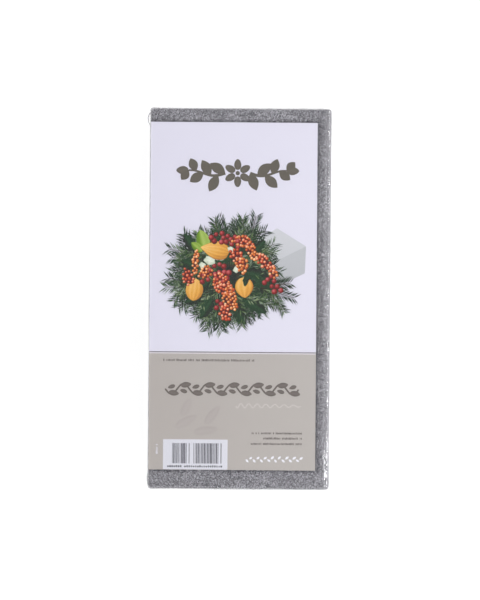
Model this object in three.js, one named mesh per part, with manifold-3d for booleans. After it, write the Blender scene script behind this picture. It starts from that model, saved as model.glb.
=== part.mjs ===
// A dry floral foam brick as it is sold: a foam block, a printed card lying on its largest face,
// and a clear shrink film round both, welded along one long side and both ends.
//
// Millimetres. +Z is up, +Y is the head end of the card and +X is the film's folded side.
// The origin is on the surface that the pack lies on, under the middle of the pack.

import * as THREE from 'three';
import { mergeVertices } from 'three/addons/utils/BufferGeometryUtils.js';
import { RoundedBoxGeometry } from 'three/addons/geometries/RoundedBoxGeometry.js';
import Module from 'manifold-3d';

const wasm = await Module();
wasm.setup();

// ---- Driving dimensions ----

// Foam block, cut from a slab and slightly crushed along its arrises by the film.
const foamWidth = 108.6;
const foamLength = 229;
const foamHeight = 79;
const foamArris = 1.6;
const foamArrisSteps = 4;

// Printed card, pushed against the welded side, and the foam that shows round it.
const cardThickness = 0.5;
const cardHeadMargin = 8.2;
const cardFootMargin = 11.3;
const cardFoldedSideMargin = 8.1;
const cardWeldedSideMargin = 0;

// Shrink film, with the slack that it keeps over what it wraps.
const filmThickness = 0.3;
const filmSlack = 0.3;
const filmInnerCorner = 0.4;
const filmCornerSteps = 2;

// Vent holes that let the air out while the film shrinks. They are in the underside.
const ventDiameter = 4;
const ventSpacing = 130;
const ventFacets = 24;
const ventOvershoot = 1;

// Welded seams: a low bead along the middle of one long side and of both ends.
const seamWidth = 1.4;
const seamProud = 0.8;
const seamFacets = 8;
const seamEndGap = 0.4;

// Ears: where a seam ends, the gathered corner of the film lies back along the side.
const earLength = 9;
const earHeight = 7;
const earThickness = 0.8;
const earTipRadius = 0.8;
const earTipFacets = 6;
const earSetback = 1.2;

// ---- Sizes and places that follow ----

const cavityWidth = foamWidth + 2 * filmSlack;
const cavityLength = foamLength + 2 * filmSlack;
const cavityHeight = foamHeight + cardThickness + 2 * filmSlack;

const packWidth = cavityWidth + 2 * filmThickness;
const packLength = cavityLength + 2 * filmThickness;
const packHeight = cavityHeight + 2 * filmThickness;

const foamBottom = filmThickness + filmSlack;
const foamTop = foamBottom + foamHeight;
const cardWidth = foamWidth - cardWeldedSideMargin - cardFoldedSideMargin;
const cardLength = foamLength - cardHeadMargin - cardFootMargin;
const cardX = (cardWeldedSideMargin - cardFoldedSideMargin) / 2;
const cardY = (cardFootMargin - cardHeadMargin) / 2;
const seamZ = packHeight / 2;

// ---- Finishes ----

function foamFinish() {
  return new THREE.MeshStandardMaterial({ color: 0x838286, roughness: 0.95, metalness: 0 });
}

function cardFinish() {
  return new THREE.MeshStandardMaterial({ color: 0xe1dfea, roughness: 0.5, metalness: 0 });
}

function filmFinish() {
  return new THREE.MeshStandardMaterial({
    color: 0xf4f6f8, roughness: 0.12, metalness: 0, transparent: true, opacity: 0.25,
  });
}

function weldFinish() {
  return new THREE.MeshStandardMaterial({
    color: 0xe9edf0, roughness: 0.25, metalness: 0, transparent: true, opacity: 0.6,
  });
}

// ---- Solids ----

// Closed geometry to a solid for cutting, and back.
function toSolid(geometry) {
  const bare = geometry.clone();
  for (const name of ['normal', 'uv']) bare.deleteAttribute(name);
  const merged = mergeVertices(bare);
  return new wasm.Manifold(new wasm.Mesh({
    numProp: 3,
    vertProperties: new Float32Array(merged.attributes.position.array),
    triVerts: new Uint32Array(merged.index.array),
  }));
}

function toGeometry(solid) {
  const mesh = solid.getMesh();
  const geometry = new THREE.BufferGeometry();
  geometry.setAttribute('position', new THREE.BufferAttribute(mesh.vertProperties, 3));
  geometry.setIndex(new THREE.BufferAttribute(mesh.triVerts, 1));
  geometry.computeVertexNormals();
  return geometry;
}

function foamGeometry() {
  return new RoundedBoxGeometry(foamWidth, foamLength, foamHeight, foamArrisSteps, foamArris);
}

function cardGeometry() {
  return new THREE.BoxGeometry(cardWidth, cardLength, cardThickness);
}

// The film is a thin shell, open only at its vent holes.
function filmGeometry() {
  const outerCorner = filmInnerCorner + filmThickness;
  const outer = toSolid(
    new RoundedBoxGeometry(packWidth, packLength, packHeight, filmCornerSteps, outerCorner));
  const cavity = toSolid(
    new RoundedBoxGeometry(cavityWidth, cavityLength, cavityHeight, filmCornerSteps, filmInnerCorner));
  let shell = outer.subtract(cavity);
  for (const side of [-1, 1]) {
    const punch = new THREE.CylinderGeometry(
      ventDiameter / 2, ventDiameter / 2, filmThickness + 2 * ventOvershoot, ventFacets);
    punch.rotateX(Math.PI / 2);
    punch.translate(0, side * ventSpacing / 2, -packHeight / 2 + filmThickness / 2);
    shell = shell.subtract(toSolid(punch));
  }
  return toGeometry(shell);
}

// A seam's bead runs along its local X. It is flat at y = 0, where the film is, and bulges to +Y.
function seamGeometry(length) {
  const section = new THREE.Shape();
  section.moveTo(-seamWidth / 2, 0);
  section.lineTo(seamWidth / 2, 0);
  section.absellipse(0, 0, seamWidth / 2, seamProud, 0, Math.PI, false);
  const bead = new THREE.ExtrudeGeometry(
    section, { depth: length, bevelEnabled: false, curveSegments: seamFacets });
  bead.translate(0, 0, -length / 2);
  bead.applyMatrix4(new THREE.Matrix4().makeBasis(
    new THREE.Vector3(0, 0, 1), new THREE.Vector3(0, 1, 0), new THREE.Vector3(-1, 0, 0)));
  return bead;
}

// An ear is a flap with its root at x = 0 and its rounded tip at x = earLength. It lies on y = 0.
function earGeometry() {
  const flap = new THREE.Shape();
  flap.moveTo(0, -earHeight / 2);
  flap.lineTo(earLength - earTipRadius, -earTipRadius);
  flap.absarc(earLength - earTipRadius, 0, earTipRadius, -Math.PI / 2, Math.PI / 2, false);
  flap.lineTo(0, earHeight / 2);
  flap.closePath();
  const ear = new THREE.ExtrudeGeometry(
    flap, { depth: earThickness, bevelEnabled: false, curveSegments: earTipFacets });
  ear.applyMatrix4(new THREE.Matrix4().makeBasis(
    new THREE.Vector3(1, 0, 0), new THREE.Vector3(0, 0, -1), new THREE.Vector3(0, 1, 0)));
  return ear;
}

// ---- Assembly ----

function named(name, geometry, material, x, y, z) {
  const mesh = new THREE.Mesh(geometry, material);
  mesh.name = name;
  mesh.position.set(x, y, z);
  return mesh;
}

// Turns a geometry so that its +X and +Y lie along these world directions and its +Z follows.
function facing(geometry, alongX, alongY) {
  const z = new THREE.Vector3().crossVectors(alongX, alongY);
  return geometry.applyMatrix4(new THREE.Matrix4().makeBasis(alongX, alongY, z));
}

const pack = new THREE.Group();

pack.add(named('foam_brick', foamGeometry(), foamFinish(), 0, 0, foamBottom + foamHeight / 2));
pack.add(named('label_card', cardGeometry(), cardFinish(), cardX, cardY, foamTop + cardThickness / 2));
pack.add(named('film_wrap', filmGeometry(), filmFinish(), 0, 0, packHeight / 2));

// The long seam runs from one ear's tip to the other's.
const sideSeamLength = packLength - 2 * (earSetback + earLength + seamEndGap);
const sideSeam = facing(
  seamGeometry(sideSeamLength), new THREE.Vector3(0, 1, 0), new THREE.Vector3(-1, 0, 0));
pack.add(named('side_seam', sideSeam, weldFinish(), -packWidth / 2, 0, seamZ));

// An end seam and the two ears that it ends in, at the head and at the foot.
const endSeamLength = packWidth - 2 * (filmInnerCorner + filmThickness);
for (const [end, alongY] of [['head', 1], ['foot', -1]]) {
  const seam = facing(
    seamGeometry(endSeamLength), new THREE.Vector3(1, 0, 0), new THREE.Vector3(0, alongY, 0));
  pack.add(named(`${end}_seam`, seam, weldFinish(), 0, alongY * packLength / 2, seamZ));

  for (const [side, alongX] of [['welded', -1], ['folded', 1]]) {
    const ear = facing(
      earGeometry(), new THREE.Vector3(0, -alongY, 0), new THREE.Vector3(alongX, 0, 0));
    const y = alongY * (packLength / 2 - earSetback);
    pack.add(named(`${end}_ear_${side}_side`, ear, weldFinish(), alongX * packWidth / 2, y, seamZ));
  }
}

export default pack;
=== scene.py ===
"""A brick of dry floral foam in its shrink film, with a printed card on its largest face.

Lengths are in metres. +Z points out of the card's face, +Y to the head end and +X to the film's
folded side; the welded side is -X.
"""

import math
import random

import bmesh
import bpy
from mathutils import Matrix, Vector, noise


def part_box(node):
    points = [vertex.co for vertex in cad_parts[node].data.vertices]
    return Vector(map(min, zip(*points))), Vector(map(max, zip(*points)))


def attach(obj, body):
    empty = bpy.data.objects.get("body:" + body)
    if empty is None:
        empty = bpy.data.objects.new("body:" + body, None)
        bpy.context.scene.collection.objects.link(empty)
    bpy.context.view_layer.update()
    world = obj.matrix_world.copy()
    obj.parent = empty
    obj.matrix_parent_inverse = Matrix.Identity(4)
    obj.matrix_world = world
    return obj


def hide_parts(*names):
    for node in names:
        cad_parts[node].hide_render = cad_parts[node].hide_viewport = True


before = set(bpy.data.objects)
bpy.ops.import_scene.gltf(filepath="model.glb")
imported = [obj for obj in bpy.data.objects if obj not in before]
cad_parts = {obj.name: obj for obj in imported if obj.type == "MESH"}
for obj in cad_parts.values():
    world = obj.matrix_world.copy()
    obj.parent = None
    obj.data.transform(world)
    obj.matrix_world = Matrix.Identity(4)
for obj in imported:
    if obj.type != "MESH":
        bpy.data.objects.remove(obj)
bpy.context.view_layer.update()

MM = 0.001
foam_low, foam_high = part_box("foam_brick")
card_low, card_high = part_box("label_card")
film_low, film_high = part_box("film_wrap")
side_low, side_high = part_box("side_seam")
card_width = (card_high.x - card_low.x) / MM
card_length = (card_high.y - card_low.y) / MM

FILM_SKIN = 0.05 * MM       # thickness of the clear film
FILM_HAZE = 0.034           # light that the film's two faces send back over everything
STUDIO_LIGHT = 0.95         # how bright a white sheet lying on the brick would be
RULE_DOWN = 138.9           # how far down the card its stone panel starts, in millimetres
FOAM_FACET = 1.05 * MM      # how far apart the foam's facets lie
VENT_RADIUS = 2.0 * MM
VENT_REACH = 65 * MM        # how far from the middle each vent lies


# ---------------------------------------------------------------- node trees


def put(tree, kind, inputs=None, **settings):
    """Adds a node, sets its options, then fills or links its inputs."""
    node = tree.nodes.new(kind)
    for name, value in settings.items():
        setattr(node, name, value)
    for key, value in (inputs or {}).items():
        if isinstance(value, bpy.types.NodeSocket):
            tree.links.new(value, node.inputs[key])
        else:
            node.inputs[key].default_value = value
    return node


def maths(tree, operation, *values):
    return put(tree, "ShaderNodeMath", dict(enumerate(values)), operation=operation).outputs[0]


def vectors(tree, operation, *values):
    node = put(tree, "ShaderNodeVectorMath", dict(enumerate(values)), operation=operation)
    return node.outputs[0]


def stretched(tree, vector, factor):
    return put(tree, "ShaderNodeVectorMath", {0: vector, "Scale": factor}, operation="SCALE").outputs[0]


def xyz(tree, x, y=0.0, z=0.0):
    return put(tree, "ShaderNodeCombineXYZ", {0: x, 1: y, 2: z}).outputs[0]


def parts_of(tree, vector):
    return put(tree, "ShaderNodeSeparateXYZ", {0: vector}).outputs


def ranged(tree, value, start, end, low=0.0, high=1.0, curve="SMOOTHSTEP"):
    """The value carried from the range start to end over to the range low to high."""
    return put(tree, "ShaderNodeMapRange", {0: value, 1: start, 2: end, 3: low, 4: high},
               interpolation_type=curve).outputs[0]


def mottle(tree, place, scale, detail, roughness=0.5):
    """Smooth random values over a place."""
    return put(tree, "ShaderNodeTexNoise", {
        "Vector": place, "Scale": scale, "Detail": detail, "Roughness": roughness}).outputs[0]


def mixed(tree, share, first, second):
    """A colour between two, by share."""
    return put(tree, "ShaderNodeMix", {
        "Factor": share, 6: first, 7: second}, data_type="RGBA").outputs[2]


def stored(tree, geometry, name, value, data_type="FLOAT", domain="POINT"):
    """The geometry with a value kept on it by name."""
    return put(tree, "GeometryNodeStoreNamedAttribute", {
        "Geometry": geometry, "Name": name, "Value": value},
        data_type=data_type, domain=domain).outputs[0]


def kept(tree, name):
    """The number that was stored by this name."""
    return put(tree, "GeometryNodeInputNamedAttribute", {"Name": name}, data_type="FLOAT").outputs[0]


def turned_by(tree, angles):
    """A rotation from three angles."""
    return put(tree, "FunctionNodeEulerToRotation", {0: angles}).outputs[0]


def chance(tree, low, high, seed, shift):
    """A random number between low and high for each point. Shift sets draws of one seed apart."""
    node = put(tree, "FunctionNodeRandomValue", {2: low, 3: high}, data_type="FLOAT")
    tree.links.new(maths(tree, "ADD", seed, float(shift)), node.inputs[8])
    return node.outputs[1]


def new_tree(name, sizes):
    """A geometry tree with named inputs for its sizes, and the sockets they come from."""
    tree = bpy.data.node_groups.new(name, "GeometryNodeTree")
    sizes = {"Geometry": "Geometry", **sizes, "Finish": "Material"}
    for label, kind in sizes.items():
        tree.interface.new_socket(label, in_out="INPUT", socket_type="NodeSocket" + kind)
    tree.interface.new_socket("Geometry", in_out="OUTPUT", socket_type="NodeSocketGeometry")
    return tree, tree.nodes.new("NodeGroupInput").outputs


def end_tree(tree, geometry, finish):
    """Makes the instances real, gives them their finish and ends the tree."""
    real = put(tree, "GeometryNodeRealizeInstances", {0: geometry}).outputs[0]
    done = put(tree, "GeometryNodeSetMaterial", {"Geometry": real, "Material": finish}).outputs[0]
    put(tree, "NodeGroupOutput", {0: done})
    return tree


def in_scene(name, data):
    """A new object in the scene."""
    item = bpy.data.objects.new(name, data)
    bpy.context.scene.collection.objects.link(item)
    return item


def rows_of_faces(rows, wide, first=0):
    """The faces between rows of points, each row wide points long."""
    starts = [first + row * wide + n for row in range(rows - 1) for n in range(wide - 1)]
    return [(n, n + wide, n + wide + 1, n + 1) for n in starts]


def grown(name, tree, sizes, start=None):
    """Runs a geometry tree and keeps what it makes as a plain mesh."""
    piece = in_scene(name, start or bpy.data.meshes.new(name))
    grow = piece.modifiers.new("Grow", "NODES")
    grow.node_group = tree
    for item in tree.interface.items_tree:
        if item.in_out == "INPUT" and item.name in sizes:
            grow[item.identifier] = sizes[item.name]
    graph = bpy.context.evaluated_depsgraph_get()
    mesh = bpy.data.meshes.new_from_object(piece.evaluated_get(graph))
    piece.modifiers.clear()
    piece.data = mesh
    mesh.name = name
    return piece


def joined(name, pieces):
    """Joins pieces into the first and names it."""
    first = pieces[0]
    with bpy.context.temp_override(
        active_object=first, selected_objects=pieces, selected_editable_objects=pieces
    ):
        bpy.ops.object.join()
    first.name = first.data.name = name
    return first


def smooth(piece):
    piece.data.polygons.foreach_set("use_smooth", [True] * len(piece.data.polygons))
    return piece


def belongs(piece, slot, *nodes):
    """The piece rides on the brick and stands for the given nodes, whose parts it hides. The slot is not
    used.
    """
    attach(piece, "root")
    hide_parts(*nodes)


# ---------------------------------------------------------------- finishes


def linear(*shade):
    """A shade from 0 to 255 as light from 0 to 1."""
    return [((c / 255 + 0.055) / 1.055) ** 2.4 for c in shade]


def under_film(*shade):
    """Base colour of a printed or plain surface that shows as this shade through the film."""
    return [max((c - FILM_HAZE) / STUDIO_LIGHT, 0.004) for c in linear(*shade)] + [1.0]


def new_finish(name):
    """An empty finish and its node tree."""
    finish = bpy.data.materials.new(name)
    finish.use_nodes = True
    finish.node_tree.nodes.clear()
    return finish, finish.node_tree


def foam_finish():
    """Dry open-celled foam: grey with a random grain, painted shade in the cell mouths, and dull all over.
    """
    finish, tree = new_finish("cut grey foam")
    place = put(tree, "ShaderNodeTexCoord").outputs["Object"]
    grain = mottle(tree, place, 1250, 3, 0.65)
    cells = put(tree, "ShaderNodeTexVoronoi", {
        "Vector": place, "Scale": 1500, "Randomness": 1.0}).outputs["Distance"]
    # the cells add painted shade: darker at their middles, where the bump below sinks into pits
    tone = maths(tree, "ADD", maths(tree, "MULTIPLY", grain, 0.95), maths(tree, "MULTIPLY", cells, 0.42))
    for clouds, weight in ((mottle(tree, place, 560, 2), 0.30), (mottle(tree, place, 45, 2), 0.16)):
        tone = maths(tree, "ADD", tone, maths(tree, "MULTIPLY", clouds, weight))
    # painted shade on the top face along the card's edges: the foam is darker there, as if in the card's
    # shade
    x, y, z = parts_of(tree, place)[:3]
    across = maths(tree, "MULTIPLY", maths(tree, "SUBTRACT", x, card_high.x), 0.5)
    off_middle = maths(tree, "ABSOLUTE", maths(tree, "SUBTRACT", y, (card_low.y + card_high.y) / 2))
    along = maths(tree, "SUBTRACT", off_middle, (card_high.y - card_low.y) / 2)
    # painted shade: darkest at the card's edge, fading out 2.6 mm past its head and foot and 5.2 mm past
    # its right side
    pressed = ranged(tree, maths(tree, "MAXIMUM", across, along), 0.0, 2.6 * MM, -0.085, 0.0)
    pressed = maths(tree, "MULTIPLY", pressed, maths(tree, "GREATER_THAN", z, foam_high.z - 2.5 * MM))
    tone = maths(tree, "MULTIPLY_ADD", tone, 0.57, pressed)
    ramp = put(tree, "ShaderNodeValToRGB", {0: tone})
    shades = ramp.color_ramp.elements
    shades[0].position, shades[0].color = 0.37, under_film(78, 77, 82)
    shades[1].position, shades[1].color = 0.65, under_film(182, 181, 186)
    middle = shades.new(0.51)
    middle.color = under_film(130, 129, 133)
    relief = put(tree, "ShaderNodeBump", {
        "Strength": 0.55, "Distance": 0.45 * MM,
        "Height": maths(tree, "ADD", grain, cells)})
    surface = put(tree, "ShaderNodeBsdfPrincipled", {
        "Base Color": ramp.outputs[0], "Roughness": 0.95, "Specular IOR Level": 0.12,
        "Normal": relief.outputs[0],
    })
    put(tree, "ShaderNodeOutputMaterial", {0: surface.outputs[0]})
    return finish


def card_finish():
    """Coated card: cool white above, warm stone below, a dark and a light rule between them, with painted
    light making white and stone a little lighter towards the right.
    """
    finish, tree = new_finish("printed coated card")
    place = put(tree, "ShaderNodeTexCoord").outputs["Object"]
    across, along, _ = parts_of(tree, place)[:3]
    rule = card_high.y - RULE_DOWN * MM
    # painted light: white and stone both grow lighter from the card's left side to its right, as if lit
    # from the right, with a random mottle mixed in
    light = ranged(tree, across, card_low.x, card_high.x, 0.25, 0.75, "LINEAR")
    drift = maths(tree, "ADD", light, maths(tree, "MULTIPLY", mottle(tree, place, 22, 2), 0.3))

    def tint(dark, light):
        return mixed(tree, drift, under_film(*dark), under_film(*light))

    colour = tint((224, 222, 235), (227, 225, 237))
    for paint, top in ((under_film(134, 130, 134), rule + 0.65 * MM),
                       (under_film(224, 219, 224), rule),
                       (tint((180, 173, 168), (189, 184, 179)), rule - 0.6 * MM)):
        colour = mixed(tree, maths(tree, "LESS_THAN", along, top), colour, paint)
    relief = put(tree, "ShaderNodeBump", {
        "Strength": 0.12, "Distance": 0.05 * MM, "Height": mottle(tree, place, 1400, 4, 0.7)})
    surface = put(tree, "ShaderNodeBsdfPrincipled", {
        "Base Color": colour, "Roughness": 0.42, "Specular IOR Level": 0.35, "Normal": relief.outputs[0]})
    put(tree, "ShaderNodeOutputMaterial", {0: surface.outputs[0]})
    return finish


# Dark, middle and light tone of each printing ink.
INKS = {
    "stone brown": ((100, 95, 87), (108, 103, 95), (116, 111, 103)),
    "warm grey": ((106, 99, 95), (115, 108, 104), (124, 117, 113)),
    "small grey": ((112, 106, 104), (130, 124, 121), (148, 142, 139)),
    "soft white": ((200, 194, 190), (212, 207, 203), (224, 220, 218)),
    "paper white": ((212, 212, 220), (221, 221, 228), (240, 240, 245)),
    "bar black": ((66, 66, 74), (84, 84, 92), (120, 120, 126)),
    "fir green": ((14, 26, 20), (56, 80, 58), (176, 190, 166)),
    "moss green": ((40, 58, 34), (96, 120, 76), (180, 194, 154)),
    "holly green": ((16, 38, 30), (44, 78, 58), (108, 138, 116)),
    "lime green": ((66, 96, 36), (124, 158, 58), (186, 206, 118)),
    "orange berry": ((112, 24, 20), (214, 88, 50), (255, 214, 176)),
    "amber berry": ((140, 52, 28), (230, 132, 66), (255, 226, 180)),
    "red berry": ((66, 12, 28), (150, 30, 46), (226, 122, 124)),
    "yellow pod": ((154, 86, 36), (226, 168, 82), (248, 212, 138)),
    "cream bud": ((142, 150, 128), (208, 218, 196), (244, 246, 234)),
    "bark brown": ((52, 44, 38), (84, 70, 58), (120, 104, 88)),
    "pale block": ((176, 178, 182), (195, 197, 200), (214, 215, 219)),
    "faint stone": ((177, 169, 166), (181, 174, 170), (185, 178, 175)),
}


def ink(name):
    """Where the ink lies across the OFBake map."""
    return (list(INKS).index(name) + 0.5) / len(INKS)


def ink_finish():
    """Printing inks: the map's first number picks the ink, its second how light it is."""
    finish, tree = new_finish("printing inks")
    spot = parts_of(tree, put(tree, "ShaderNodeUVMap", uv_map="OFBake").outputs[0])
    tones = []
    for tone in range(3):
        ramp = put(tree, "ShaderNodeValToRGB", {0: spot[0]})
        ramp.color_ramp.interpolation = "CONSTANT"
        stops = ramp.color_ramp.elements
        stops.remove(stops[1])
        for number, shades in enumerate(INKS.values()):
            stop = stops[0] if number == 0 else stops.new(number / len(INKS))
            stop.position, stop.color = number / len(INKS), under_film(*shades[tone])
        tones.append(ramp.outputs[0])
    lower = ranged(tree, spot[1], 0.0, 0.5, curve="LINEAR")
    upper = ranged(tree, spot[1], 0.5, 1.0, curve="LINEAR")
    whole = mixed(tree, upper, mixed(tree, lower, tones[0], tones[1]), tones[2])
    surface = put(tree, "ShaderNodeBsdfPrincipled", {
        "Base Color": whole, "Roughness": 0.4, "Specular IOR Level": 0.35})
    put(tree, "ShaderNodeOutputMaterial", {0: surface.outputs[0]})
    return finish


def mirror_share(tree, least, bump):
    """How much a film's face mirrors: least when seen squarely, most at a glance."""
    most = 0.6
    facing = put(tree, "ShaderNodeLayerWeight", {"Blend": 0.5, "Normal": bump}).outputs["Facing"]
    return maths(tree, "MULTIPLY_ADD", maths(tree, "POWER", facing, 5.0), most - least, least)


def film_layers(tree, milky, clear_tint, milk_tint, least_mirror, roughness, relief):
    """Ends a film's finish: clear, milky where milky says, with a gloss over both."""
    clear = put(tree, "ShaderNodeBsdfTransparent", {"Color": clear_tint})
    milk = put(tree, "ShaderNodeBsdfDiffuse", {"Color": milk_tint})
    gloss = put(tree, "ShaderNodeBsdfGlossy", {
        "Color": (1, 1, 1, 1), "Roughness": roughness, "Normal": relief})
    body = put(tree, "ShaderNodeMixShader", {0: milky, 1: clear.outputs[0], 2: milk.outputs[0]})
    whole = put(tree, "ShaderNodeMixShader", {
        0: mirror_share(tree, least_mirror, relief), 1: body.outputs[0], 2: gloss.outputs[0]})
    put(tree, "ShaderNodeOutputMaterial", {0: whole.outputs[0]})


def film_finish():
    """Clear shrink film: glossy and see-through, milky where gathered at the seams and faintly milky where
    crinkled over the folded arris, with painted glints as milky flecks near the foot.
    """
    finish, tree = new_finish("clear shrink film")
    place = put(tree, "ShaderNodeTexCoord").outputs["Object"]
    x, y, z = parts_of(tree, place)[:3]

    def grain(scale, detail, *stretch):
        drawn = put(tree, "ShaderNodeMapping", {"Vector": place, "Scale": stretch or (1, 1, 1)})
        return mottle(tree, drawn.outputs[0], scale, detail, 0.55)

    lines, waves, crinkle = grain(240, 3, 1.0, 0.22, 1.0), grain(60, 2), grain(620, 2)
    by_arris = maths(tree, "MULTIPLY", ranged(tree, x, 47.5 * MM, 53.5 * MM),
                     ranged(tree, z, film_high.z - 7 * MM, film_high.z - 2 * MM))
    by_foot = ranged(tree, y, -70 * MM, -92 * MM)
    where = maths(tree, "MULTIPLY_ADD", by_arris, 1.5, 0.10)
    height = maths(tree, "MULTIPLY_ADD", waves, 1.6, lines)
    relief = put(tree, "ShaderNodeBump", {
        "Strength": 0.35, "Distance": 0.4 * MM,
        "Height": maths(tree, "MULTIPLY_ADD", crinkle, where, height)}).outputs[0]
    # painted glints: small milky flecks along the folded arris, most of them near the foot, white under
    # any light
    flecks = ranged(tree, grain(620, 2, 1.0, 0.45, 1.0), 0.49, 0.62)
    bend = ranged(tree, y, -78 * MM, -112 * MM)
    line = maths(tree, "MULTIPLY_ADD", bend, -1.0 * MM, 53.4 * MM)
    off_line = maths(tree, "ABSOLUTE", maths(tree, "SUBTRACT", x, line))
    near_line = maths(tree, "MULTIPLY", ranged(tree, off_line, 2.1 * MM, 0.5 * MM), by_foot)
    # the flecks are painted glints, made white by the milky layer
    painted_glints = maths(tree, "MULTIPLY", maths(tree, "MULTIPLY", near_line, flecks), 0.85)
    milky = maths(tree, "MULTIPLY", by_arris, ranged(tree, crinkle, 0.35, 0.65, 0.010, 0.085))
    milky = maths(tree, "MAXIMUM", milky, painted_glints)
    # gathers across the three welded seams
    from_seam = maths(tree, "ABSOLUTE", maths(tree, "SUBTRACT", z, (side_low.z + side_high.z) / 2))
    welded = maths(tree, "MULTIPLY", ranged(tree, from_seam, 9 * MM, 1 * MM),
                   maths(tree, "LESS_THAN", x, 54.2 * MM))
    gathers = ranged(tree, grain(430, 2, 1.0, 1.0, 0.10), 0.50, 0.68, 0.0, 0.20)
    milky = maths(tree, "MAXIMUM", milky, maths(tree, "MULTIPLY", welded, gathers))
    film_layers(tree, maths(tree, "ADD", milky, 0.003), (0.985, 0.985, 0.99, 1), (0.9, 0.9, 0.93, 1),
                0.035, ranged(tree, lines, 0.3, 0.7, 0.035, 0.08), relief)
    return finish


def weld_finish():
    """Film melted and gathered into a bead: milky, uneven and glossy."""
    finish, tree = new_finish("milky film weld")
    place = put(tree, "ShaderNodeTexCoord").outputs["Object"]
    melt = mottle(tree, place, 300, 2)
    relief = put(tree, "ShaderNodeBump", {
        "Strength": 0.35, "Distance": 0.3 * MM, "Height": melt}).outputs[0]
    milky = ranged(tree, melt, 0.3, 0.75, 0.10, 0.30, "LINEAR")
    film_layers(tree, milky, (0.97, 0.97, 0.98, 1), (0.86, 0.86, 0.88, 1), 0.05, 0.2, relief)
    return finish


FOAM, CARD, PRINT, FILM, WELD = foam_finish(), card_finish(), ink_finish(), film_finish(), weld_finish()


# ---------------------------------------------------------------- foam and film blocks


def block_tree():
    """A block with rounded arrises, a pressed shoulder along its top +X arris, and a rough skin."""
    tree, size = new_tree("rounded block", {
        "Width": "Float", "Length": "Float", "Height": "Float", "Middle": "Vector",
        "Arris": "Float", "Cells across": "Int", "Cells along": "Int", "Cells up": "Int",
        "Crowding": "Vector", "Shoulder drop": "Float", "Shoulder reach": "Float",
        "Relief": "Float", "Relief scale": "Float",
    })
    cube = put(tree, "GeometryNodeMeshCube", {
        "Size": (2, 2, 2), "Vertices X": size["Cells across"], "Vertices Y": size["Cells along"],
        "Vertices Z": size["Cells up"]}).outputs[0]
    spot = put(tree, "GeometryNodeInputPosition").outputs[0]
    bent = vectors(tree, "SINE", stretched(tree, spot, math.pi / 2))
    crowded = vectors(tree, "ADD", spot, vectors(
        tree, "MULTIPLY", vectors(tree, "SUBTRACT", bent, spot), size["Crowding"]))
    half = stretched(tree, xyz(tree, size["Width"], size["Length"], size["Height"]), 0.5)
    flat = vectors(tree, "MULTIPLY", crowded, half)
    core = vectors(tree, "SUBTRACT", half, xyz(tree, size["Arris"], size["Arris"], size["Arris"]))
    inside = vectors(tree, "MINIMUM", vectors(tree, "MAXIMUM", flat, stretched(tree, core, -1.0)), core)
    out = vectors(tree, "NORMALIZE", vectors(tree, "SUBTRACT", flat, inside))
    rounded = vectors(tree, "ADD", inside, stretched(tree, out, size["Arris"]))
    x, _, z = parts_of(tree, rounded)[:3]
    half_x, _, half_z = parts_of(tree, half)[:3]
    inboard = maths(tree, "DIVIDE", maths(tree, "SUBTRACT", x, half_x), size["Shoulder reach"])
    pressed = maths(tree, "EXPONENT", inboard)
    depth = maths(tree, "SUBTRACT", half_z, z)
    upper = ranged(tree, depth, 0.0, 9 * MM, 1.0, 0.0)
    sink = maths(tree, "MULTIPLY", maths(tree, "MULTIPLY", pressed, upper), size["Shoulder drop"])
    sunk = vectors(tree, "SUBTRACT", rounded, xyz(tree, 0.0, 0.0, sink))
    grain = mottle(tree, sunk, size["Relief scale"], 2, 0.6)
    pits = put(tree, "ShaderNodeTexVoronoi", {"Vector": sunk, "Scale": size["Relief scale"]}).outputs[0]
    rough = maths(tree, "ADD", maths(tree, "MULTIPLY", grain, 0.7), maths(tree, "MULTIPLY", pits, 0.3))
    rough = maths(tree, "MULTIPLY", maths(tree, "SUBTRACT", rough, 0.75), size["Relief"])
    placed = vectors(tree, "ADD", vectors(tree, "ADD", sunk, stretched(tree, out, rough)), size["Middle"])
    shaped = put(tree, "GeometryNodeSetPosition", {"Geometry": cube, "Position": placed}).outputs[0]
    return end_tree(tree, shaped, size["Finish"])


BLOCK = block_tree()


def foam_brick():
    """The brick: facets about a millimetre apart, evenly spread, each pushed in or out a little."""
    span = foam_high - foam_low
    across, along, up = [round(side / FOAM_FACET) + 1 for side in span]
    piece = grown("foam_block", BLOCK, {
        "Width": span.x, "Length": span.y, "Height": span.z, "Middle": (foam_low + foam_high) / 2,
        "Arris": 1.6 * MM, "Crowding": (0.0, 0.0, 0.0),
        "Cells across": across, "Cells along": along, "Cells up": up,
        "Shoulder drop": 2.3 * MM, "Shoulder reach": 3.6 * MM,
        "Relief": 0.36 * MM, "Relief scale": 760.0, "Finish": FOAM,
    })
    belongs(smooth(piece), "foam", "foam_brick")


def step_down(distance, width):
    """0 at the card's edge, rising smoothly to 1 at width outside it."""
    t = min(max(distance / width, 0.0), 1.0)
    return t * t * (3 - 2 * t)


def ridge(point, start, end, width):
    """1 on the line from start to end, fading off it over width and towards its two ends."""
    line = end - start
    t = min(max((point - start).dot(line) / line.length_squared, 0.0), 1.0)
    away = (point - (start + line * t)).length / width
    return math.exp(-away * away) * math.sin(math.pi * min(max(0.06 + 0.88 * t, 0), 1)) ** 0.6


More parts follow.
